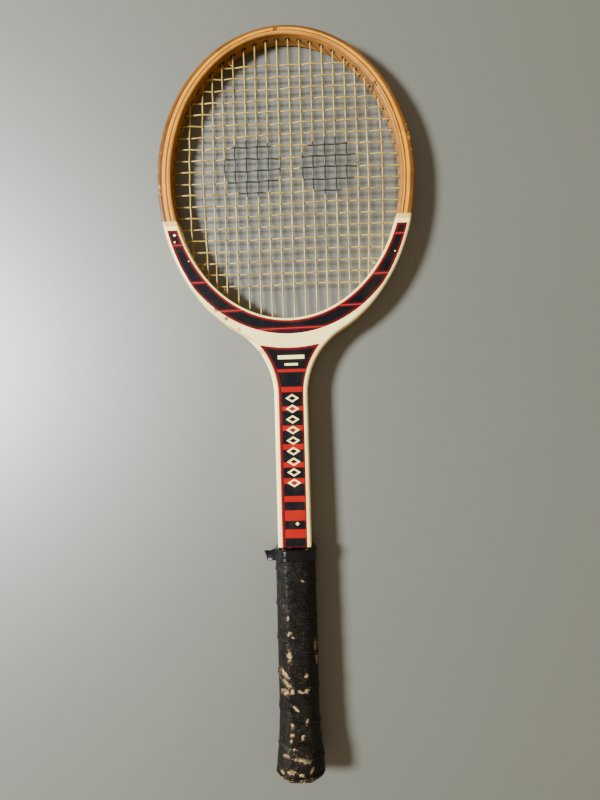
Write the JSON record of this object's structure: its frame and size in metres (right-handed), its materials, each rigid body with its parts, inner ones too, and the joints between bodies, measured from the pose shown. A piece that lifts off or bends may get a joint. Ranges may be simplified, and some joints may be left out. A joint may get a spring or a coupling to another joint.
{
  "type": "tennis racket",
  "caption": "Wooden tennis racket with a laminated oval head, woven strings, painted shoulders and a worn black leather grip.",
  "frame": {"origin": "under the middle of the racket's bounding box, at its lowest level (the butt flare's back)", "axes": "+Y from the butt to the head's tip, +Z out of the front face, +X to the right seen from the front"},
  "size_m": [0.236, 0.686, 0.0388],
  "materials": {
    "outer_ply_wood": "satin lacquer",
    "ash_wood": "satin lacquer",
    "dark_veneer": "satin lacquer",
    "hoop_wood": "satin lacquer",
    "wedge_wood": "satin",
    "cream_paint": "gloss paint, worn",
    "decal_film": "gloss transfer film",
    "pallet_wood": "raw",
    "black_cap": "worn",
    "tack_steel": "dull",
    "black_leather": "worn and peeling",
    "black_tape": "gloss",
    "straw_string": "satin"
  },
  "bodies": {
    "root": {"outer_ply": "outer_ply_wood", "ash_ply_outer": "ash_wood", "centre_veneer": "dark_veneer", "ash_ply_inner": "ash_wood", "inner_hoop": "hoop_wood", "throat_wedge": "wedge_wood", "shaft_core": "wedge_wood", "shoulder_overlay_front": "cream_paint", "shoulder_overlay_back": "cream_paint", "throat_decal_front": "decal_film", "throat_decal_back": "decal_film", "shaft_decal_front": "decal_film", "shaft_decal_back": "decal_film", "handle_pallet_front": "pallet_wood", "handle_pallet_back": "pallet_wood", "handle_pallet_left": "pallet_wood", "handle_pallet_right": "pallet_wood", "heel_flare_front": "pallet_wood", "heel_flare_back": "pallet_wood", "butt_cap": "black_cap", "butt_cap_tacks": "tack_steel", "grip_tacks": "tack_steel", "grip_leather": "black_leather", "collar_tape": "black_tape", "main_string": "straw_string", "cross_string": "straw_string", "tie_off_knots": "straw_string"}
  },
  "joints": []
}
